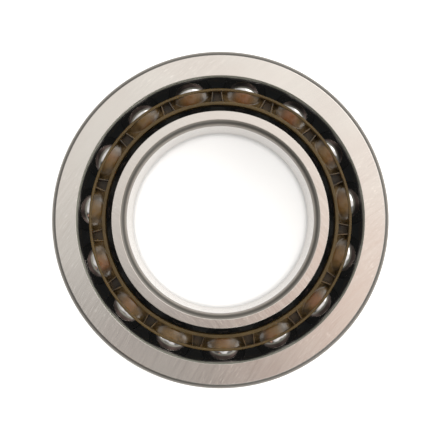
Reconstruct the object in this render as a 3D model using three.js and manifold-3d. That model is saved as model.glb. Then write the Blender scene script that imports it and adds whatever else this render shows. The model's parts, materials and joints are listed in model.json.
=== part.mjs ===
// A single-row angular contact ball bearing, 50 x 90 x 20 mm with a 40 degree contact angle.
// Outer ring, inner ring, one-piece moulded window cage and fifteen balls, each a mesh of its own.
// Millimetres, +Z up. The bearing lies on its lower face: the origin is on the axis, in that face's plane.
import * as THREE from "three";
import { mergeVertices } from "three/addons/utils/BufferGeometryUtils.js";
import Module from "manifold-3d";

// Boundary dimensions.
const BORE_R = 25;
const OUTSIDE_R = 45;
const WIDTH = 20;

// The balls and how they sit between the raceways.
const BALL_COUNT = 15;
const BALL_R = 6.35;
const PITCH_R = 35;
const MID_Z = WIDTH / 2;
const CONTACT = THREE.MathUtils.degToRad(40);
const GROOVE_R = 1.04 * BALL_R;
const RUNNING_GAP = 0.15; // between ball and raceway, along the contact line
const BALL_PITCH = (2 * Math.PI) / BALL_COUNT;

// Ring shoulders and lips. The high shoulders carry the load: the outer ring's on top, the inner's below.
const OUTER_SHOULDER_R = 38.05;
const OUTER_LIP_R = 41.2;
const OUTER_MOUTH_R = 41.8;
const INNER_SHOULDER_R = 33.6;
const INNER_LIP_R = 28.95;

// Corners: how far each reaches across its side face, and its turn before it meets that face in an edge.
const CORNER_BORE = 1.6;
const CORNER_OUTSIDE = 1.4;
const CORNER_NARROW = 0.8;
const CORNER_TURN = 68;
const LAND_BREAK = 0.15; // edges between a side face and a land
const SHOULDER_BREAK = 0.35; // edge of the outer ring's high shoulder
const WIDE_BREAK = 0.35; // edges of the two wide mouths

// The cage: a slanted sleeve, high and narrow in front, low and wide behind.
const POCKET_R = BALL_R + 0.3;
const DOME_R = POCKET_R + 0.9;
const CAGE_TOP_Z = 17.7;
const CAGE_BOTTOM_Z = 1.3;
const FRONT_INNER_R = 30.8;
const FRONT_OUTER_R = 35.25;
const BACK_INNER_R = 36.6;
const BACK_OUTER_R = 40.2;
const INNER_RIM = 0.95;
const OUTER_RIM = 0.7;
const CHANNEL_INNER_Z = 16.6; // the channel's floor falls from here, at its inner rim,
const CHANNEL_OUTER_Z = 15.3; // to here, at its outer rim
const CHANNEL_DRAFT = 0.2; // each channel wall leans in by this much at the floor
const WELL_TOP_Z = 16.9; // the wells between the domes, and the thin walls round them
const WELL_FLOOR_Z = 14.0;
const WELL_WIDE = 2.9; // tangential widths of a well's inner and outer end
const WELL_NARROW = 2.1;
const WELL_WALL = 0.45;

// Roundness.
const RING_SEGMENTS = 60;
const GROOVE_STEPS = 8;
const CORNER_STEPS = 3;
const BALL_DETAIL = 3;
const POCKET_DETAIL = 2;

const wasm = await Module();
wasm.setup();

const point = (r, z) => new THREE.Vector2(r, z);

// Points along an arc in the (radius, height) plane, from one angle to another, in degrees.
function arc(centreR, centreZ, radius, fromDeg, toDeg, steps) {
  return Array.from({ length: steps + 1 }, (_, i) => {
    const a = THREE.MathUtils.degToRad(fromDeg + ((toDeg - fromDeg) * i) / steps);
    return point(centreR + radius * Math.cos(a), centreZ + radius * Math.sin(a));
  });
}

// A closed profile, listed anticlockwise, turned about +Z.
function revolve(profile) {
  const closed = [...profile, profile[0]];
  return new THREE.LatheGeometry(closed, RING_SEGMENTS).rotateX(Math.PI / 2);
}

// A closed three.js geometry as a manifold-3d solid.
function solid(geometry) {
  const bare = geometry.clone();
  bare.deleteAttribute("normal");
  bare.deleteAttribute("uv");
  const merged = mergeVertices(bare, 1e-4);
  return new wasm.Manifold(
    new wasm.Mesh({
      numProp: 3,
      vertProperties: merged.attributes.position.array,
      triVerts: new Uint32Array(merged.index.array),
    }),
  );
}

// A manifold-3d solid as a three.js geometry.
function geometryOf(shape) {
  const mesh = shape.getMesh();
  const geometry = new THREE.BufferGeometry();
  geometry.setAttribute("position", new THREE.BufferAttribute(mesh.vertProperties, 3));
  geometry.setIndex(new THREE.BufferAttribute(mesh.triVerts, 1));
  geometry.computeVertexNormals();
  return geometry;
}

// The centre of ball i, and the angle of the cage bar that follows it.
const ballAngle = (i) => i * BALL_PITCH;
const barAngle = (i) => (i + 0.5) * BALL_PITCH;
const ballCentre = (i) =>
  new THREE.Vector3(PITCH_R * Math.cos(ballAngle(i)), PITCH_R * Math.sin(ballAngle(i)), MID_Z);

// A groove's centre stands off the ball's centre along the contact line, leaving RUNNING_GAP there.
const GROOVE_OFFSET = GROOVE_R - BALL_R - RUNNING_GAP;
const grooveCentre = (side) => ({
  r: PITCH_R - side * GROOVE_OFFSET * Math.cos(CONTACT),
  z: MID_Z - side * GROOVE_OFFSET * Math.sin(CONTACT),
});

// The angle, seen from a groove's centre, at which the groove reaches a given radius.
const grooveAngle = (centreR, r) => THREE.MathUtils.radToDeg(Math.acos((r - centreR) / GROOVE_R));

// A corner between a seat (the bore or the outside) and a side face at height faceZ, from seat to edge.
// up is 1 for a top face and -1 for a bottom face; out is 1 for the outside and -1 for the bore.
function corner(seatR, faceZ, reach, up, out) {
  const turn = THREE.MathUtils.degToRad(CORNER_TURN);
  const radius = reach / (1 - Math.cos(turn));
  return Array.from({ length: CORNER_STEPS + 1 }, (_, i) => {
    const a = (turn * i) / CORNER_STEPS;
    const r = seatR - out * radius * (1 - Math.cos(a));
    return point(r, faceZ - up * radius * (Math.sin(turn) - Math.sin(a)));
  });
}

// High shoulder and wide face on top, counterbored lip below.
function outerRing() {
  const groove = grooveCentre(1);
  const high = grooveAngle(groove.r, OUTER_SHOULDER_R);
  const low = -grooveAngle(groove.r, OUTER_LIP_R);
  return revolve([
    point(OUTER_MOUTH_R + WIDE_BREAK, 0),
    ...corner(OUTSIDE_R, 0, CORNER_NARROW, -1, 1).reverse(),
    ...corner(OUTSIDE_R, WIDTH, CORNER_OUTSIDE, 1, 1),
    point(OUTER_SHOULDER_R + SHOULDER_BREAK, WIDTH),
    point(OUTER_SHOULDER_R, WIDTH - SHOULDER_BREAK),
    ...arc(groove.r, groove.z, GROOVE_R, high, low, GROOVE_STEPS),
    point(OUTER_MOUTH_R, WIDE_BREAK),
  ]);
}

// High shoulder and wide face below, low lip on top.
function innerRing() {
  const groove = grooveCentre(-1);
  const high = -grooveAngle(groove.r, INNER_SHOULDER_R);
  const low = grooveAngle(groove.r, INNER_LIP_R) - 360;
  return revolve([
    ...corner(BORE_R, 0, CORNER_BORE, -1, -1),
    point(INNER_SHOULDER_R - WIDE_BREAK, 0),
    point(INNER_SHOULDER_R, WIDE_BREAK),
    ...arc(groove.r, groove.z, GROOVE_R, high, low, GROOVE_STEPS),
    point(INNER_LIP_R, WIDTH - LAND_BREAK),
    point(INNER_LIP_R - LAND_BREAK, WIDTH),
    ...corner(BORE_R, WIDTH, CORNER_BORE, 1, -1).reverse(),
  ]);
}

// The cage before its pockets: front ring, slanted bars and back ring as one sleeve.
function cageSleeve() {
  return revolve([
    point(BACK_INNER_R, CAGE_BOTTOM_Z),
    point(BACK_OUTER_R, CAGE_BOTTOM_Z),
    point(BACK_OUTER_R, CAGE_BOTTOM_Z + 3.3),
    point(BACK_OUTER_R - 2.8, MID_Z - 1),
    point(FRONT_OUTER_R, MID_Z + 3.2),
    point(FRONT_OUTER_R, CAGE_TOP_Z),
    point(FRONT_INNER_R, CAGE_TOP_Z),
    point(FRONT_INNER_R, MID_Z + 4.2),
    point(BACK_INNER_R - 0.4, CAGE_BOTTOM_Z + 2.4),
  ]);
}

// The open channel between the front ring's two rims, from its sloping floor up past their tops.
function channel(growth) {
  const inner = FRONT_INNER_R + INNER_RIM - growth;
  const outer = FRONT_OUTER_R - OUTER_RIM + growth;
  return revolve([
    point(inner + CHANNEL_DRAFT, CHANNEL_INNER_Z - growth),
    point(outer - CHANNEL_DRAFT, CHANNEL_OUTER_Z - growth),
    point(outer, CAGE_TOP_Z),
    point(outer, CAGE_TOP_Z + 1),
    point(inner, CAGE_TOP_Z + 1),
    point(inner, CAGE_TOP_Z),
  ]);
}

// A tapered prism on a cage bar, wide towards the bearing's axis, between two heights.
function barPrism(angle, growth, bottom, top) {
  const inner = FRONT_INNER_R + INNER_RIM + CHANNEL_DRAFT - growth;
  const outer = FRONT_OUTER_R - OUTER_RIM - CHANNEL_DRAFT + growth;
  const outline = new THREE.Shape([
    point(inner, -WELL_WIDE / 2 - growth),
    point(outer, -WELL_NARROW / 2 - growth),
    point(outer, WELL_NARROW / 2 + growth),
    point(inner, WELL_WIDE / 2 + growth),
  ]);
  return new THREE.ExtrudeGeometry(outline, { depth: top - bottom, bevelEnabled: false })
    .translate(0, 0, bottom)
    .rotateZ(angle);
}

function ballSphere(radius, i) {
  const centre = ballCentre(i);
  return new THREE.IcosahedronGeometry(radius, POCKET_DETAIL)
    .rotateZ(ballAngle(i))
    .translate(centre.x, centre.y, centre.z);
}

// The sleeve loses its channel, gains a dome over each ball and a walled well on each bar, and last loses
// the pockets and wells themselves.
function cage() {
  const domeRoom = solid(channel(0.2));
  let body = solid(cageSleeve()).subtract(solid(channel(0)));
  for (let i = 0; i < BALL_COUNT; i++) {
    const walls = solid(barPrism(barAngle(i), WELL_WALL, CHANNEL_OUTER_Z - 0.4, WELL_TOP_Z));
    body = body.add(solid(ballSphere(DOME_R, i)).intersect(domeRoom)).add(walls);
  }
  for (let i = 0; i < BALL_COUNT; i++) {
    const well = solid(barPrism(barAngle(i), 0, WELL_FLOOR_Z, CAGE_TOP_Z));
    body = body.subtract(solid(ballSphere(POCKET_R, i))).subtract(well);
  }
  return geometryOf(body);
}

const groundSteel = new THREE.MeshStandardMaterial({ color: 0xc9c2b8, roughness: 0.35, metalness: 1 });
const ballSteel = new THREE.MeshStandardMaterial({ color: 0xdedee0, roughness: 0.05, metalness: 1 });
const cagePolyamide = new THREE.MeshStandardMaterial({ color: 0x5b4a2c, roughness: 0.4, metalness: 0 });

function named(name, geometry, material) {
  const mesh = new THREE.Mesh(geometry, material);
  mesh.name = name;
  return mesh;
}

const bearing = new THREE.Group();
bearing.add(named("outer_ring", outerRing(), groundSteel));
bearing.add(named("inner_ring", innerRing(), groundSteel));
bearing.add(named("cage", cage(), cagePolyamide));

for (let i = 0; i < BALL_COUNT; i++) {
  const ball = named(
    `ball_${String(i + 1).padStart(2, "0")}`,
    new THREE.IcosahedronGeometry(BALL_R, BALL_DETAIL),
    ballSteel,
  );
  ball.position.copy(ballCentre(i));
  ball.rotation.z = ballAngle(i);
  bearing.add(ball);
}

export default bearing;
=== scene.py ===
import json
import math

import bpy
import numpy as np
from mathutils import Matrix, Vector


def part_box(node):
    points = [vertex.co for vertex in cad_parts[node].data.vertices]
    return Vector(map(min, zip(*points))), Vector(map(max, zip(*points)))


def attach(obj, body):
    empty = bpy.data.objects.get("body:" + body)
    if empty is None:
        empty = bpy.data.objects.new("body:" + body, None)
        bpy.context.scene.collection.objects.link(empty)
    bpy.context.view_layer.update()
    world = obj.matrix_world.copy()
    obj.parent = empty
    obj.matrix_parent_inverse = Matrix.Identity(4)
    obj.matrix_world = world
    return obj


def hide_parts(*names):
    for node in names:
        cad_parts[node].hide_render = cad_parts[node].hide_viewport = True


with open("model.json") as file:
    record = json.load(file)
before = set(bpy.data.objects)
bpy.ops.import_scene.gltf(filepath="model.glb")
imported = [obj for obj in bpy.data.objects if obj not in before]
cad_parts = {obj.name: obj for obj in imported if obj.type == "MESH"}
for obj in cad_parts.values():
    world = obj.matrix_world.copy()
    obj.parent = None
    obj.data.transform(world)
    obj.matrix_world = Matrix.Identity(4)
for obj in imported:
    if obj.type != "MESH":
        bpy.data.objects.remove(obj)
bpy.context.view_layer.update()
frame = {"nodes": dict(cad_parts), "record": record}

# ---------------------------------------------------------------- sizes, in millimetres
MM = 0.001
OUTSIDE_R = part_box("outer_ring")[1].x / MM
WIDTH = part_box("outer_ring")[1].z / MM
INNER_SHOULDER_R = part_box("inner_ring")[1].x / MM
JOINTS = {j["name"]: j for j in frame["record"]["behaviour"]["joints"]}
BALLS = sorted(n for n in frame["nodes"] if n.startswith("ball_"))
PITCH_R = JOINTS[BALLS[0] + "_spin"]["pos_m"][0] / MM
MID_Z = JOINTS[BALLS[0] + "_spin"]["pos_m"][2] / MM
BALL_R = (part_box(BALLS[0])[1].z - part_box(BALLS[0])[0].z) / 2 / MM
BALL_PITCH = 2 * math.pi / len(BALLS)
CONTACT = math.radians(40)

BORE_R = 25.0
GROOVE_R = 1.04 * BALL_R
TRACK_GAP = 0.12
GROOVE_OFF = GROOVE_R - BALL_R - TRACK_GAP  # from the ball's centre to the groove's, along the contact line
CORNER_BORE = 1.6  # how far the turned corners reach in from the seats
CORNER_OUTSIDE = 1.38
CORNER_TURN = math.radians(68)  # how far a corner's arc turns from the seat towards the face
BEFORE_CORNER = 0.05  # the flat stops this far from a corner's edge, so that the edge shades crisply
OUTER_SHOULDER_R = 38.05
OUTER_LIP_R = 41.2
OUTER_MOUTH_R = 41.8
INNER_LIP_R = 28.92

CAGE_TOP = 17.7
CAGE_BOTTOM = 1.3
FRONT_IN, FRONT_OUT = 30.8, 35.25
BACK_IN, BACK_OUT = 36.6, 40.2
RIM_IN, RIM_OUT = 0.95, 0.7
POCKET_R = BALL_R + 0.3
DOME_R = BALL_R + 1.2


# ---------------------------------------------------------------- surfaces
def surface(name, points, loop_u):
    """A closed skin over a grid of points[u, v] in mm. v always runs round and joins up with itself. u joins up too
    if loop_u is true; otherwise its first and last rows are each closed by a fan to the row's middle.
    The outward side is the one that (step in v) x (step in u) points to."""
    nu, nv = points.shape[:2]
    co = points.reshape(-1, 3)
    rows = nu if loop_u else nu - 1
    u, v = np.meshgrid(np.arange(rows), np.arange(nv), indexing="ij")
    u1, v1 = (u + 1) % nu, (v + 1) % nv
    quads = np.stack([u * nv + v, u * nv + v1, u1 * nv + v1, u1 * nv + v], axis=-1).reshape(-1, 4)
    faces = quads.tolist()
    if not loop_u:
        first, last = len(co), len(co) + 1
        co = np.vstack([co, points[0].mean(0), points[-1].mean(0)])
        a = np.arange(nv)
        b = (a + 1) % nv
        top = (nu - 1) * nv
        faces += np.stack([b, a, np.full(nv, first)], axis=-1).tolist()
        faces += np.stack([top + a, top + b, np.full(nv, last)], axis=-1).tolist()
    mesh = bpy.data.meshes.new(name)
    mesh.from_pydata((co * MM).tolist(), [], faces)
    mesh.shade_smooth()
    mesh.set_sharp_from_angle(angle=math.radians(38))
    piece = bpy.data.objects.new(name, mesh)
    bpy.context.scene.collection.objects.link(piece)
    return piece


def rounded(corners, steps=8, guard=0.05):
    """A closed outline through corners (r, z, radius): each corner with a radius becomes an arc tangent to its two
    sides, and a guard point just beyond each end of the arc keeps the flat beside it flat when shaded."""
    out = []
    pts = np.array([c[:2] for c in corners], float)
    for i, (r, z, radius) in enumerate(corners):
        p = pts[i]
        if radius <= 0:
            out.append(p[None])
            continue
        before, after = pts[i - 1] - p, pts[(i + 1) % len(pts)] - p
        before, after = before / np.linalg.norm(before), after / np.linalg.norm(after)
        half = math.acos(np.clip(before @ after, -1, 1)) / 2
        reach = radius / math.tan(half)
        painted_bore_corner_shade = (before + after) / np.linalg.norm(before + after)
        centre = p + painted_bore_corner_shade * radius / math.sin(half)
        start, end = p + before * reach - centre, p + after * reach - centre
        a0 = math.atan2(start[1], start[0])
        sweep = (math.atan2(end[1], end[0]) - a0 + math.pi) % (2 * math.pi) - math.pi
        a = a0 + sweep * np.linspace(0, 1, steps + 1)
        arc = centre + radius * np.stack([np.cos(a), np.sin(a)], axis=-1)
        out.append(np.vstack([p + before * (reach + guard), arc, p + after * (reach + guard)]))
    return np.vstack(out)


def arc_points(centre_r, centre_z, radius, start, end, steps):
    """Corners without radius along an arc in the (r, z) plane, from angle start to end in radians."""
    a = np.linspace(start, end, steps + 1)
    return [(centre_r + radius * math.cos(x), centre_z + radius * math.sin(x), 0) for x in a]


def corner_arc(seat, edge, face, steps=10):
    """A turned corner: an arc that leaves the seat (a cylinder of radius seat) smoothly and meets the side face at
    height face in a plain edge at radius edge. Listed from the seat to the edge."""
    radius = (seat - edge) / (1 - math.cos(CORNER_TURN))
    up = 1 if face > 0 else -1
    a = np.linspace(0, CORNER_TURN, steps + 1)
    r = seat - radius * (1 - np.cos(a))
    z = face - up * (abs(radius) * (math.sin(CORNER_TURN) - np.sin(a)))
    return [(x, y, 0) for x, y in zip(r, z)]


def turned(name, outline, around=360):
    """The outline (r, z), anticlockwise and closed, carried round the bearing's axis:
    x = r cos a, y = r sin a, z = z, for angles a all the way round."""
    a = np.arange(around) * 2 * math.pi / around
    r, z = outline[:, 0][:, None], outline[:, 1][:, None]
    points = np.stack([r * np.cos(a), r * np.sin(a), z + 0 * a], axis=-1)
    return surface(name, points, loop_u=True)


def make_outer_ring():
    """Wide face and high shoulder on top, ball track, then a low lip that opens out below: the section (r, z)
    turned about the axis. The track is an arc of radius GROOVE_R."""
    cr, cz = PITCH_R - GROOVE_OFF * math.cos(CONTACT), MID_Z - GROOVE_OFF * math.sin(CONTACT)
    high = math.acos((OUTER_SHOULDER_R - cr) / GROOVE_R)
    low = -math.acos((OUTER_LIP_R - cr) / GROOVE_R)
    corners = [
        (OUTER_MOUTH_R + 0.35, 0, 0.12),
        (OUTSIDE_R, 0, 0.85),
        (OUTSIDE_R, WIDTH - 2.6, 0),
        *corner_arc(OUTSIDE_R, OUTSIDE_R - CORNER_OUTSIDE, WIDTH),
        (OUTSIDE_R - CORNER_OUTSIDE - BEFORE_CORNER, WIDTH, 0),
        (OUTER_SHOULDER_R + 0.3, WIDTH, 0.06),
        (OUTER_SHOULDER_R, WIDTH - 0.4, 0.1),
        *arc_points(cr, cz, GROOVE_R, high, low, 40),
        (OUTER_MOUTH_R, 0.35, 0.12),
    ]
    return turned("outer_ring_steel", rounded(corners))


def make_inner_ring():
    """Wide face and high shoulder below, ball track, then a low lip under the narrow top face, and the bore in the
    painted_bore_corner_shade: the section (r, z) turned about the axis. The track is an arc of radius GROOVE_R."""
    cr, cz = PITCH_R + GROOVE_OFF * math.cos(CONTACT), MID_Z + GROOVE_OFF * math.sin(CONTACT)
    high = -math.acos((INNER_SHOULDER_R - cr) / GROOVE_R)
    low = math.acos((INNER_LIP_R - cr) / GROOVE_R) - 2 * math.pi
    corners = [
        (BORE_R, 2.7, 0),
        *corner_arc(BORE_R, BORE_R + CORNER_BORE, 0),
        (BORE_R + CORNER_BORE + BEFORE_CORNER, 0, 0),
        (INNER_SHOULDER_R - 0.25, 0, 0.08),
        (INNER_SHOULDER_R, 0.25, 0.1),
        *arc_points(cr, cz, GROOVE_R, high, low, 40),
        (INNER_LIP_R, WIDTH - 0.16, 0.06),
        (INNER_LIP_R - 0.14, WIDTH, 0.06),
        (BORE_R + CORNER_BORE + BEFORE_CORNER, WIDTH, 0),
        *corner_arc(BORE_R, BORE_R + CORNER_BORE, WIDTH)[::-1],
        (BORE_R, WIDTH - 2.7, 0),
    ]
    return turned("inner_ring_steel", rounded(corners))


def make_ball(node):
    """A sphere about the ball's centre: rings of latitude about its own spin axis, closed by a fan at each pole:
    centre + BALL_R (cos lat (cos lon across + sin lon third) + sin lat axis)."""
    joint = JOINTS[node + "_spin"]
    centre = np.array(joint["pos_m"]) / MM
    axis = np.array(joint["axis"]) / np.linalg.norm(joint["axis"])
    across = np.cross(axis, [0, 0, 1.0])
    across /= np.linalg.norm(across)
    third = np.cross(axis, across)
    lat = (np.arange(1, 60) / 60 - 0.5) * math.pi
    lon = np.arange(96) * 2 * math.pi / 96
    lat, lon = np.meshgrid(lat, lon, indexing="ij")
    points = centre + BALL_R * (
        np.cos(lat)[..., None] * (np.cos(lon)[..., None] * across + np.sin(lon)[..., None] * third)
        + np.sin(lat)[..., None] * axis
    )
    return surface(node + "_steel", points, loop_u=False)


# ---------------------------------------------------------------- the cage
BAR_WELL_IN, BAR_WELL_OUT = 1.3, 0.92  # half widths of the wells at the channel's inner and outer side
WELL_WALL = 0.38
WELL_SLOPE = 0.22
CHANNEL_IN, CHANNEL_OUT = FRONT_IN + RIM_IN, FRONT_OUT - RIM_OUT
WELL_TOP, WELL_FLOOR = 16.75, 14.2


def pocket(r, phi):
    """Half height of the ball pocket over a point at radius r and angle phi from the ball: the sphere's
    equation solved for z, and nought outside its outline."""
    flat = r**2 + PITCH_R**2 - 2 * PITCH_R * r * np.cos(phi)
    return np.sqrt(np.maximum(POCKET_R**2 - flat, 0))


def soft_max(a, b, blend):
    """The larger of a and b, with the crease between them rounded over about the width blend."""
    return (a + b + np.sqrt((a - b) ** 2 + blend**2)) / 2


def channel_height(r, phi_bar):
    """Height of the front ring's channel at radius r and angle phi_bar from the nearest bar's middle: a floor that
    falls outwards, a dome over each ball, and two thin walls beside a deeper well on each bar."""
    x = np.clip((r - CHANNEL_IN) / (CHANNEL_OUT - CHANNEL_IN), 0, 1)
    floor = 16.75 - 1.45 * x**0.8
    phi = BALL_PITCH / 2 - np.abs(phi_bar)
    flat = r**2 + PITCH_R**2 - 2 * PITCH_R * r * np.cos(phi)
    dome = MID_Z + np.sqrt(np.maximum(DOME_R**2 - flat, 0.01))
    height = soft_max(floor, dome, 0.12)
    side = np.abs(phi_bar) * r
    half = BAR_WELL_IN + (BAR_WELL_OUT - BAR_WELL_IN) * x
    wall = np.clip((half + WELL_WALL + WELL_SLOPE - side) / WELL_SLOPE, 0, 1)
    well = np.clip((half + 0.06 - side) / 0.12, 0, 1)
    height = height + (np.maximum(WELL_TOP, height) - height) * wall
    return height + (WELL_FLOOR - height) * well


def make_front_ring():
    """The cage's front ring: a closed section carried round the axis, whose top follows the channel height and
    whose underside is the higher of a plain slope and the ball pockets. The columns bunch up at the well walls."""
    knots = np.array([0, 0.30, 0.36, 0.44, 0.50, 0.58, 1.0])
    counts = [3, 3, 3, 3, 4, 20]
    t = np.concatenate([np.linspace(knots[i], knots[i + 1], counts[i], endpoint=False) for i in range(6)])
    half_t = np.concatenate([t, [1.0]])
    # a closed section: outer rim, channel, inner rim, inner wall, underside, outer wall
    e = 0.2  # radius of the rims' edges
    c = np.linspace(0, math.pi / 2, 5)
    rim_out_r = np.concatenate([FRONT_OUT - e + e * np.cos(c), CHANNEL_OUT + e - e * np.cos(c[::-1])])
    rim_out_z = np.concatenate([CAGE_TOP - e + e * np.sin(c), CAGE_TOP - e + e * np.sin(c[::-1])])
    chan_r = np.concatenate([
        [CHANNEL_OUT - 0.03, CHANNEL_OUT - 0.10],
        np.linspace(CHANNEL_OUT - 0.16, CHANNEL_IN + 0.16, 22),
        [CHANNEL_IN + 0.10, CHANNEL_IN + 0.03],
    ])
    rim_in_r = np.concatenate([CHANNEL_IN - e + e * np.cos(c), FRONT_IN + e - e * np.cos(c[::-1])])
    wall_n, low_n = 8, 22
    n_out, n_chan, n_in = len(rim_out_r), len(chan_r), len(rim_in_r)
    low_r = np.linspace(FRONT_IN, FRONT_OUT, low_n)
    sec_r = np.concatenate([
        rim_out_r, chan_r, rim_in_r,
        np.full(wall_n, FRONT_IN), low_r, np.full(wall_n, FRONT_OUT),
    ])
    # angles from the bar's middle: the knots shift with radius so that they run along the well's slanting walls
    x = np.clip((sec_r - CHANNEL_IN) / (CHANNEL_OUT - CHANNEL_IN), 0, 1)
    half = BAR_WELL_IN + (BAR_WELL_OUT - BAR_WELL_IN) * x
    radius = np.clip(sec_r, CHANNEL_IN, CHANNEL_OUT)
    marks = np.stack([
        0 * half,
        (half - 0.10) / radius,
        (half + 0.10) / radius,
        (half + WELL_WALL) / radius,
        (half + WELL_WALL + WELL_SLOPE) / radius,
        (half + WELL_WALL + WELL_SLOPE + 0.25) / radius,
        np.full(len(half), BALL_PITCH / 2),
    ], axis=-1)
    seg = np.clip(np.searchsorted(knots, half_t, side="right") - 1, 0, 5)
    w = (half_t - knots[seg]) / (knots[seg + 1] - knots[seg])
    phi = marks[:, seg] * (1 - w) + marks[:, seg + 1] * w
    phi = np.concatenate([-phi[:, :0:-1], phi[:, :-1]], axis=1)
    r = np.broadcast_to(sec_r[:, None], phi.shape)
    z = np.empty(phi.shape)
    a, b = n_out, n_out + n_chan
    z[:a] = rim_out_z[:, None]
    z[b:b + n_in] = rim_out_z[:, None]
    depth = np.minimum(channel_height(r[a:b], phi[a:b]), CAGE_TOP - e)
    z[a:b] = depth
    to_ball = BALL_PITCH / 2 - np.abs(phi)
    top = b + n_in
    slope = 14.2 - (r - FRONT_IN) * 1.0 / (FRONT_OUT - FRONT_IN)
    under = np.maximum(slope, MID_Z + pocket(r, to_ball))
    z[top + wall_n:top + wall_n + low_n] = under[top + wall_n:top + wall_n + low_n]
    down = np.linspace(0, 1, wall_n + 2)[1:-1][:, None]
    z[top:top + wall_n] = (CAGE_TOP - e) * (1 - down) + under[top:top + wall_n] * down
    z[top + wall_n + low_n:] = under[top + wall_n + low_n:] * (1 - down) + (CAGE_TOP - e) * down
    bars = (np.arange(len(BALLS)) + 0.5) * BALL_PITCH
    angle = (bars[None, :, None] + phi[:, None, :]).reshape(len(sec_r), -1)
    r = np.repeat(r[:, None, :], len(BALLS), axis=1).reshape(len(sec_r), -1)
    z = np.repeat(z[:, None, :], len(BALLS), axis=1).reshape(len(sec_r), -1)
    return surface("cage_front_ring", np.stack([r * np.cos(angle), r * np.sin(angle), z], axis=-1), loop_u=True)


def make_back_ring():
    """The cage's plain back ring: a rounded section carried round the axis, whose top is the lower of its own
    height and the underside of the ball pockets."""
    corners = [
        (BACK_IN, CAGE_BOTTOM, 0.3),
        (BACK_OUT, CAGE_BOTTOM, 0.4),
        (BACK_OUT, CAGE_BOTTOM + 3.6, 0.4),
        *[(x, CAGE_BOTTOM + 3.6, 0) for x in np.linspace(BACK_OUT - 0.7, BACK_IN + 0.1, 12)],
        (BACK_IN - 0.4, CAGE_BOTTOM + 2.4, 0.2),
    ]
    outline = rounded(corners, steps=4)
    around = len(BALLS) * 48
    a = np.arange(around) * 2 * math.pi / around
    r = np.broadcast_to(outline[:, 0][:, None], (len(outline), len(a)))
    to_ball = (a + BALL_PITCH / 2) % BALL_PITCH - BALL_PITCH / 2
    z = np.minimum(outline[:, 1][:, None] + 0 * a, MID_Z - pocket(r, to_ball))
    z = np.where(pocket(r, to_ball) > 0, z, outline[:, 1][:, None] + 0 * a)
    return surface("cage_back_ring", np.stack([r * np.cos(a), r * np.sin(a), z], axis=-1), loop_u=True)


def make_bar(i):
    """A cage bar between two pockets: sections stacked from the back ring up into the front ring, each bounded by
    the slanting inner and outer surface of the cage and, on both sides, by the pocket spheres, where
    cos(angle to the ball) = (r^2 + pitch^2 + height^2 - pocket^2) / (2 pitch r)."""
    rows, n = 36, 7
    z = np.linspace(CAGE_BOTTOM + 1.2, 14.6, rows)
    inner = np.interp(z, [1.3, 3.7, 14.2, 14.6], [36.6, 36.2, FRONT_IN, FRONT_IN]) + 0.03
    outer = np.interp(z, [1.3, 4.6, 9.0, 13.2, 14.6], [40.2, 40.2, 37.4, FRONT_OUT, FRONT_OUT]) - 0.03
    k = np.linspace(0, 1, n)
    r_in, r_out = inner[:, None], outer[:, None]
    side_r = r_in + (r_out - r_in) * k

    def edge(r):
        c = (r**2 + PITCH_R**2 + (z[:, None] - MID_Z) ** 2 - POCKET_R**2) / (2 * PITCH_R * r)
        return BALL_PITCH / 2 - np.minimum(np.arccos(np.clip(c, -1, 1)), BALL_PITCH / 2)

    side = np.minimum(edge(side_r), math.radians(10.5))
    span = np.linspace(-1, 1, n)
    # anticlockwise seen from above: out along the left side, back along the right
    r_back, r_front = np.broadcast_to(r_out, (rows, n)), np.broadcast_to(r_in, (rows, n))
    r = np.concatenate([side_r, r_back, side_r[:, ::-1], r_front], axis=1)
    phi = np.concatenate([-side, span * side[:, -1:], side[:, ::-1], -span * side[:, :1]], axis=1)
    a = phi + (i + 0.5) * BALL_PITCH
    keep = np.ones(r.shape[1], bool)
    keep[[n, 2 * n, 3 * n, 4 * n - 1]] = False
    points = np.stack([r * np.cos(a), r * np.sin(a), z[:, None] + 0 * a], axis=-1)[:, keep]
    return surface(f"cage_bar_{i + 1:02d}", points, loop_u=False)


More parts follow.
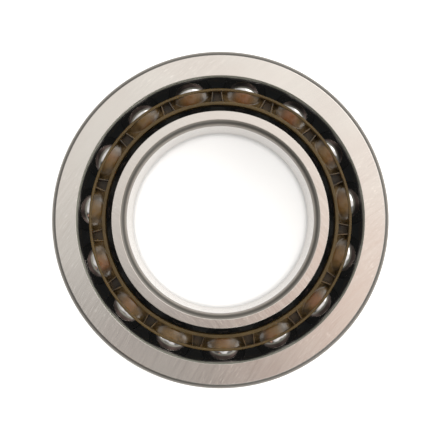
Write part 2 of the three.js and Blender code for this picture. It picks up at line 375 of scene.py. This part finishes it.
# ---------------------------------------------------------------- shader helper
class Wire:
    """A shader socket that can be used in sums: each operator adds a Math node, and node() adds any other."""

    def __init__(self, tree, socket=None):
        self.tree, self.socket = tree, socket

    def node(self, kind, settings=None, sockets=None, out=0):
        n = self.tree.nodes.new(kind)
        for key, value in (settings or {}).items():
            if key == "stops":
                ramp = n.color_ramp.elements
                while len(ramp) < len(value):
                    ramp.new(0.5)
                for element, (place, colour) in zip(ramp, value):
                    element.position, element.color = place, colour
            else:
                setattr(n, key, value)
        for key, value in (sockets or {}).items():
            if isinstance(value, Wire):
                self.tree.links.new(value.socket, n.inputs[key])
            else:
                n.inputs[key].default_value = value
        return Wire(self.tree, n.outputs[out] if len(n.outputs) else None)

    def math(self, operation, *values):
        return self.node("ShaderNodeMath", {"operation": operation}, dict(enumerate(values)))

    def __add__(self, other):
        if self.socket.type == "VECTOR":
            return self.node("ShaderNodeVectorMath", {"operation": "ADD"}, {0: self, 1: (other,) * 3})
        return self.math("ADD", self, other)

    def __radd__(self, other):
        return self.math("ADD", other, self)

    def __sub__(self, other):
        return self.math("SUBTRACT", self, other)

    def __rsub__(self, other):
        return self.math("SUBTRACT", other, self)

    def __mul__(self, other):
        return self.math("MULTIPLY", self, other)

    def __rmul__(self, other):
        return self.math("MULTIPLY", other, self)

    def __truediv__(self, other):
        return self.math("DIVIDE", self, other)

    def step(self, low, high):
        """0 below low, 1 above high, and a smooth rise between."""
        return self.node("ShaderNodeMapRange", {"interpolation_type": "SMOOTHSTEP"},
                         {"Value": self, "From Min": low, "From Max": high})

    def noise(self, vector, scale, detail=2.0, rough=0.5):
        return self.node("ShaderNodeTexNoise", {"noise_dimensions": "3D"},
                         {"Vector": vector, "Scale": scale, "Detail": detail, "Roughness": rough})

    def toward(self, direction):
        """How squarely this direction points along another: their dot product."""
        return self.node("ShaderNodeVectorMath", {"operation": "DOT_PRODUCT"}, {0: self, 1: direction}, out=1)

    def vector(self, x, y, z):
        return self.node("ShaderNodeCombineXYZ", {}, {"X": x, "Y": y, "Z": z})

    def bump(self, height, strength, distance):
        return self.node("ShaderNodeBump", {}, {"Strength": strength, "Distance": distance, "Height": height})

    def mix(self, factor, a, b):
        """Two colours mixed by factor."""
        return self.node("ShaderNodeMix", {"data_type": "RGBA"}, {0: factor, 6: a, 7: b}, out=2)


def new_material(name, **constants):
    """A material with one Principled shader and its constant sockets set; gives the material, a Wire to start
    expressions from, and the shader node."""
    m = bpy.data.materials.new(name)
    m.use_nodes = True
    shader = m.node_tree.nodes["Principled BSDF"]
    for key, value in constants.items():
        shader.inputs[key.replace("_", " ")].default_value = value
    return m, Wire(m.node_tree), shader


def feed(start, shader, **wires):
    """Join each Wire to the shader socket it is named after."""
    for key, wire in wires.items():
        start.tree.links.new(wire.socket, shader.inputs[key.replace("_", " ")])


def split(start):
    """Object coordinates, in metres, as one vector and as separate x, y and z."""
    coords = start.node("ShaderNodeTexCoord", out=3)
    sep = coords.node("ShaderNodeSeparateXYZ", {}, {"Vector": coords})
    node = sep.socket.node
    return coords, [Wire(start.tree, node.outputs[i]) for i in range(3)]


SCATTER = 0.007  # strength of the glow that stands in for light scattered among the parts
SCATTER_TINT = (0.95, 1.0, 1.0, 1)
BLACK = (0.0, 0.0, 0.0, 1)
# Painted shade: the near-black colour put on the lands deep inside the bearing.
PAINTED_DEEP_SHADE = (0.045, 0.032, 0.028, 1)


def hardened_skin_with_painted_bands(s, r, off, cloud):
    """Colour of the dull skin left by hardening: olive on the outer ring's shoulder edge and warmer on the corners.
    Painted over it are dark bands of shade near the outside corner's edge and in the middle of the bore's corner,
    and a pale band of painted light beside the bore."""
    olive = r.step(36.0 * MM, 37.0 * MM) * (1 - r.step(38.6 * MM, 39.0 * MM))
    warm = s.mix(cloud, (0.135, 0.122, 0.105, 1), (0.215, 0.198, 0.17, 1))
    dull = s.mix(olive, warm, s.mix(cloud, (0.20, 0.203, 0.168, 1), (0.32, 0.317, 0.265, 1)))
    from_bore = r - BORE_R * MM
    # painted light: a pale band on the bore's corner, right beside the bore
    dull = s.mix(1 - from_bore.step(0.1 * MM, 0.6 * MM), dull, (0.33, 0.30, 0.27, 1))
    # painted shade: a dark band across the middle of the bore's corner
    painted_bore_corner_shade = from_bore.step(0.3 * MM, 0.8 * MM) * (1 - from_bore.step(0.9 * MM, 1.4 * MM))
    dull = s.mix(painted_bore_corner_shade * 0.75, dull, (0.03, 0.027, 0.024, 1))
    # painted shade: a dark band on the outer corners next to the face
    outward = (r - PITCH_R * MM).step(0.0, 8.0 * MM)
    return s.mix(off.step(9.3 * MM, 9.8 * MM) * outward * 0.7, dull, (0.035, 0.032, 0.028, 1))


def ring_steel(name, wheel, seat):
    """Bearing steel. The side faces are ground, with the slightly curved parallel lines of a wheel whose centre is
    at wheel (mm). The seat, a cylinder of that radius, has lines round the axis, and the ball track is honed. The
    corners and edge breaks are as hardened, darker and duller, with painted bands of light and shade across the
    corners, and the lands deep inside are painted darkest as shade. A trace of glow deep inside stands in for light
    scattered among the parts."""
    m, s, shader = new_material(name, Emission_Strength=SCATTER)
    coords, (x, y, z) = split(s)
    r = s.math("SQRT", x * x + y * y)

    # where each finish is: 1 on it, 0 off it
    off = s.math("ABSOLUTE", z - WIDTH / 2 * MM)
    face = off.step((WIDTH / 2 - 0.06) * MM, (WIDTH / 2 - 0.01) * MM)
    # deep marks the lands deep inside, which are painted almost black as shade
    deep = 1 - off.step(7.3 * MM, 8.8 * MM)
    to_seat = s.math("ABSOLUTE", r - seat * MM)
    seated = (1 - to_seat.step(0.01 * MM, 0.04 * MM)) * (1 - face)
    from_ball_r, from_ball_z = r - PITCH_R * MM, z - MID_Z * MM
    from_ball = s.math("SQRT", from_ball_r * from_ball_r + from_ball_z * from_ball_z)
    track = 1 - from_ball.step((GROOVE_R + 0.02) * MM, (GROOVE_R + 0.06) * MM)
    ground = s.math("MAXIMUM", s.math("MAXIMUM", face, seated), track)

    # the grinding lines, and slower changes of tone
    wx, wy = x - wheel[0] * MM, y - wheel[1] * MM
    across = s.math("SQRT", wx * wx + wy * wy)
    along = s.math("ARCTAN2", wy, wx) * 0.15
    fine = s.noise(s.vector(across, along * 0.03, 0.0), 5200.0, 2.0, 0.6)
    broad = s.noise(s.vector(across, along * 0.05, 0.2), 900.0, 2.0, 0.6)
    hoops = s.noise(s.vector(r, 0.0, z), 6500.0, 2.0, 0.6)
    lines = (fine * 0.45 + broad * 0.55) * face + hoops * (1 - face)
    cloud = s.noise(coords, 45.0, 3.0, 0.6)
    tint = s.noise(coords + 0.37, 70.0, 2.0, 0.55)
    busy = s.noise(coords + 0.11, 40.0, 1.0, 0.5).step(0.38, 0.62)
    scratch = s.noise(s.vector(across, along * 0.12, 0.7), 4200.0, 0.0, 0.5).step(0.66, 0.76)
    scratch = scratch * busy * face

    # ground steel, with a greyer seat
    tone = 0.5 + (lines - 0.5) * (0.2 + busy * 0.42) + (cloud - 0.5) * 0.2
    bright = s.node("ShaderNodeValToRGB", {"stops": [
        (0.0, (0.44, 0.405, 0.37, 1)),
        (0.5, (0.64, 0.605, 0.565, 1)),
        (1.0, (0.84, 0.805, 0.755, 1)),
    ]}, {"Fac": tone})
    bright = s.mix(tint.step(0.35, 0.65) * 0.25, bright, (0.60, 0.52, 0.48, 1))
    bright = s.mix(scratch * 0.3, bright, (0.90, 0.87, 0.82, 1))
    worn = s.mix(hoops.step(0.3, 0.7), (0.25, 0.24, 0.225, 1), (0.38, 0.365, 0.345, 1))
    bright = s.mix(seated * (0.9 if seat > PITCH_R else 0.25), bright, worn)

    # the corners get the hardened skin with its painted bands, and deep inside they get the painted shade
    colour = s.mix(ground, s.mix(deep, hardened_skin_with_painted_bands(s, r, off, cloud), PAINTED_DEEP_SHADE), bright)
    rough = 0.42 - deep * (1 - ground) * 0.12 - ground * 0.24 + face * 0.05 - track * 0.06
    rough = rough + (lines - 0.5) * 0.16 + (cloud - 0.5) * 0.06
    metal = 0.25 + s.math("MAXIMUM", ground, deep) * 0.75
    glow = s.mix(deep * (1 - seated), BLACK, SCATTER_TINT)
    bump = s.bump(lines - scratch * 0.3, 0.12, 0.1 * MM)
    feed(s, shader, Base_Color=colour, Roughness=rough, Metallic=metal, Emission_Color=glow, Normal=bump)
    return m


def ball_steel():
    """Lapped bearing steel, mirror bright, with a faint uneven haze and dust-fine specks."""
    m, s, shader = new_material("lapped_ball_steel", Metallic=1.0)
    coords, _ = split(s)
    haze = s.noise(coords, 420.0, 3.0, 0.6)
    specks = s.noise(coords, 2600.0, 1.0, 0.5).step(0.68, 0.74)
    colour = s.mix(haze, (0.58, 0.56, 0.55, 1), (0.70, 0.68, 0.67, 1))
    rough = 0.02 + haze * 0.03 + specks * 0.12
    bump = s.bump(haze, 0.02, 0.1 * MM)
    feed(s, shader, Base_Color=colour, Roughness=rough, Normal=bump)
    return m


def cage_polyamide():
    """Moulded polyamide, olive brown, with short pale glass fibres. Warmer over the balls, where the wall is thin,
    as painted light from the steel balls behind it, oily in the channel, and painted almost black between the balls
    as shade, with the same trace of glow as the steel inside."""
    m, s, shader = new_material(
        "cage_polyamide",
        Metallic=0.0,
        Subsurface_Weight=0.15,
        Subsurface_Scale=0.0012,
        Subsurface_Radius=(1.0, 0.62, 0.25),
        IOR=1.53,
        Specular_IOR_Level=0.3,
        Coat_Roughness=0.05,
        Emission_Strength=SCATTER,
    )
    coords, (x, y, z) = split(s)
    r = s.math("SQRT", x * x + y * y)
    angle = s.math("ARCTAN2", y, x)

    # where each finish is: 1 on it, 0 off it
    on_top = z.step(15.1 * MM, 16.6 * MM)
    inner_rim = 1 - r.step((FRONT_IN + 0.8) * MM, (FRONT_IN + 1.1) * MM)
    outer_rim = r.step((FRONT_OUT - 0.85) * MM, (FRONT_OUT - 0.55) * MM)
    crest = s.math("MAXIMUM", inner_rim, outer_rim)
    oily = (1 - crest) * on_top
    to_ball = s.math("ABSOLUTE", s.math("SINE", angle * (len(BALLS) / 2)))
    over_ball = 1 - to_ball.step(0.15, 0.75)
    # where the bars between the balls are painted almost black as shade
    painted_shade_between_balls = z.step(5.5 * MM, 7.0 * MM) * (1 - z.step(12.5 * MM, 14.2 * MM))
    inside = 1 - z.step(12.5 * MM, 14.2 * MM)

    flow = s.noise(coords, 240.0, 4.0, 0.6)
    grain = s.noise(coords, 3800.0, 2.0, 0.6)
    hue = s.noise(coords + 0.53, 55.0, 1.0, 0.5).step(0.4, 0.6)
    along = s.vector(s.math("COSINE", angle) * 0.03, s.math("SINE", angle) * 0.03, r * 8.0 + z * 6.0)
    fibre = s.noise(along, 900.0, 2.0, 0.7).step(0.56, 0.74)

    floor_tone = s.mix(flow.step(0.35, 0.65), (0.032, 0.019, 0.007, 1), (0.105, 0.064, 0.024, 1))
    # painted light: a warmer tone over each ball, where light comes back through the thin wall from the steel ball
    painted_dome_light = s.mix(hue, (0.155, 0.052, 0.011, 1), (0.122, 0.064, 0.012, 1))
    rim_tone = s.mix(flow, (0.070, 0.043, 0.011, 1), (0.104, 0.066, 0.020, 1))
    colour = s.mix(over_ball * oily * 0.85, floor_tone, painted_dome_light)
    colour = s.mix(crest * 0.85, colour, rim_tone)
    colour = s.mix(fibre * 0.25, colour, (0.22, 0.17, 0.09, 1))
    # painted shade: the bars between the balls made almost black
    colour = s.mix(painted_shade_between_balls * 0.85, colour, (0.006, 0.005, 0.005, 1))
    rough = 0.36 + (grain - 0.5) * 0.14 + (flow - 0.5) * 0.16 - oily * 0.12
    glow = s.mix(inside, BLACK, SCATTER_TINT)
    bump = s.bump(grain * 0.5 + fibre * 0.5, 0.25, 0.05 * MM)
    feed(s, shader, Base_Color=colour, Roughness=rough, Coat_Weight=oily * 0.4, Emission_Color=glow, Normal=bump)
    return m


def floor_card():
    """Pale matt card lit from below, except where the bearing covers it."""
    m, s, shader = new_material("pale_card", Specular_IOR_Level=0.2, Emission_Strength=0.56)
    coords, (x, y, _) = split(s)
    mottle = s.noise(coords, 60.0, 4.0, 0.6)
    colour = s.mix(mottle, (0.80, 0.80, 0.80, 1), (0.84, 0.84, 0.835, 1))
    rough = 0.75 + (mottle - 0.5) * 0.1
    r = s.math("SQRT", x * x + y * y)
    inner_edge = r.step((BORE_R - 1.5) * MM, (BORE_R + 1.5) * MM)
    outer_edge = r.step((OUTSIDE_R - 1.5) * MM, (OUTSIDE_R + 1.5) * MM)
    glow = s.mix(inner_edge * (1 - outer_edge), (1.0, 0.995, 0.985, 1), BLACK)
    feed(s, shader, Base_Color=colour, Roughness=rough, Emission_Color=glow)
    return m


# ---------------------------------------------------------------- camera, lights and floor
CAMERA_HEIGHT = 0.235
CAMERA_BACK = 0.0033
CAMERA_TILT = math.radians(1.01)
CAMERA_SIDE = math.radians(0.195)
CAMERA_ROLL = math.radians(-7.45)
LENS = 67.15  # focal length in mm, on a 36 mm wide sensor

turn_camera = Matrix.Rotation(CAMERA_ROLL, 4, "Z")
camera = bpy.data.objects.new("camera", bpy.data.cameras.new("camera"))
camera.data.lens = LENS
camera.data.sensor_width = 36.0
camera.data.clip_start = 0.01
camera.matrix_world = (
    turn_camera
    @ Matrix.Translation((0, -CAMERA_BACK, CAMERA_HEIGHT))
    @ Matrix.Rotation(CAMERA_TILT, 4, "X")
    @ Matrix.Rotation(CAMERA_SIDE, 4, "Y")
)
bpy.context.scene.collection.objects.link(camera)
bpy.context.scene.camera = camera
bpy.context.scene.view_settings.view_transform = "Standard"


def direction(azimuth, tilt):
    """Unit vector at an azimuth, as the camera sees it, and a tilt away from straight up, in degrees."""
    a, t = math.radians(azimuth) + CAMERA_ROLL, math.radians(tilt)
    return (math.sin(t) * math.cos(a), math.sin(t) * math.sin(a), math.cos(t))


def patch_of_light(way, azimuth, tilt, inner, outer):
    """1 inside a round patch of sky of radius inner degrees, 0 beyond outer."""
    near = way.toward(direction(azimuth, tilt))
    return near.step(math.cos(math.radians(outer)), math.cos(math.radians(inner)))


# Each light or shade: the azimuth and tilt of its middle, the radius where it starts to fade and the radius where it
# ends, all in degrees, and its strength.
LENS_SHADE = (250, 10, 2, 14, 0.66)
BRIGHT_PANEL = (45, 44, 10, 26, 1.6)
STANDS = [(232, 50, 17, 31, 0.84), (318, 44, 12, 20, 0.75)]
SOFT_BOXES = [
    (5, 62, 8, 16, 3.4),
    (313, 66, 8, 13, 4.2),
    (180, 62, 8, 15, 2.4),
    (277, 68, 7, 12, 3.4),
    (100, 60, 9, 16, 1.4),
    (48, 60, 8, 14, 2.4),
    (143, 60, 8, 14, 1.2),
    (236, 36, 3, 7, 0.5),
]
WARM_SPOTS = [(322, 8, 2, 11, 0.6), (236, 38, 6, 12, 0.95)]


def studio_sky():
    """A pale tent, brighter on one side and straight overhead, with low soft boxes all round. The dim shapes are
    the lens, almost overhead, and two stands lower down. Two spots are warm in colour, one by the lens and one by a
    stand."""
    world = bpy.data.worlds.new("studio")
    bpy.context.scene.world = world
    world.use_nodes = True
    s = Wire(world.node_tree)
    way = s.node("ShaderNodeTexCoord", out=0)
    up = way.toward((0.0, 0.0, 1.0))
    bright_side = way.toward(direction(25, 90))

    def patch(spot):
        return patch_of_light(way, *spot[:4]) * spot[4]

    level = 0.68 + bright_side.step(-0.35, 0.35) * 0.32 + up.step(0.84, 0.95) * 0.34
    level = level * (1 - patch(LENS_SHADE)) + patch(BRIGHT_PANEL)
    for stand in STANDS:
        level = level * (1 - patch(stand))
    for box in SOFT_BOXES:
        level = level + patch(box)
    warm = patch(WARM_SPOTS[0]) + patch(WARM_SPOTS[1])
    colour = s.mix(warm, (1.0, 0.99, 0.97, 1), (1.0, 0.60, 0.45, 1))
    back = world.node_tree.nodes["Background"]
    world.node_tree.links.new(colour.socket, back.inputs["Color"])
    world.node_tree.links.new(level.socket, back.inputs["Strength"])


studio_sky()

FLOOR_HALF, FLOOR_Z = 3.0, -0.02 * MM
floor_mesh = bpy.data.meshes.new("floor")
floor_corners = [(x * FLOOR_HALF, y * FLOOR_HALF, FLOOR_Z) for x, y in ((-1, -1), (1, -1), (1, 1), (-1, 1))]
floor_mesh.from_pydata(floor_corners, [], [(0, 1, 2, 3)])
floor = bpy.data.objects.new("floor", floor_mesh)
floor.data.materials.append(floor_card())
bpy.context.scene.collection.objects.link(floor)


# ---------------------------------------------------------------- assembly
def fit(piece, body, slot, material, *nodes):
    """Give a piece its material and its body, and hide the CAD nodes it stands in for. The slot is not used."""
    piece.data.materials.append(material)
    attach(piece, body)
    if nodes:
        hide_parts(*nodes)


lapped, polyamide = ball_steel(), cage_polyamide()
outer_steel = ring_steel("ground_steel_outer", (102, -124), OUTSIDE_R)
inner_steel = ring_steel("ground_steel_inner", (-110, -96), BORE_R)
fit(make_outer_ring(), "outer_ring", "ring_steel", outer_steel, "outer_ring")
fit(make_inner_ring(), "inner_ring", "ring_steel", inner_steel, "inner_ring")
fit(make_front_ring(), "cage", "cage_polyamide", polyamide, "cage")
fit(make_back_ring(), "cage", "cage_polyamide", polyamide)
for i, node in enumerate(BALLS):
    fit(make_bar(i), "cage", "cage_polyamide", polyamide)
    fit(make_ball(node), node, "ball_steel", lapped, node)

bpy.context.view_layer.update()
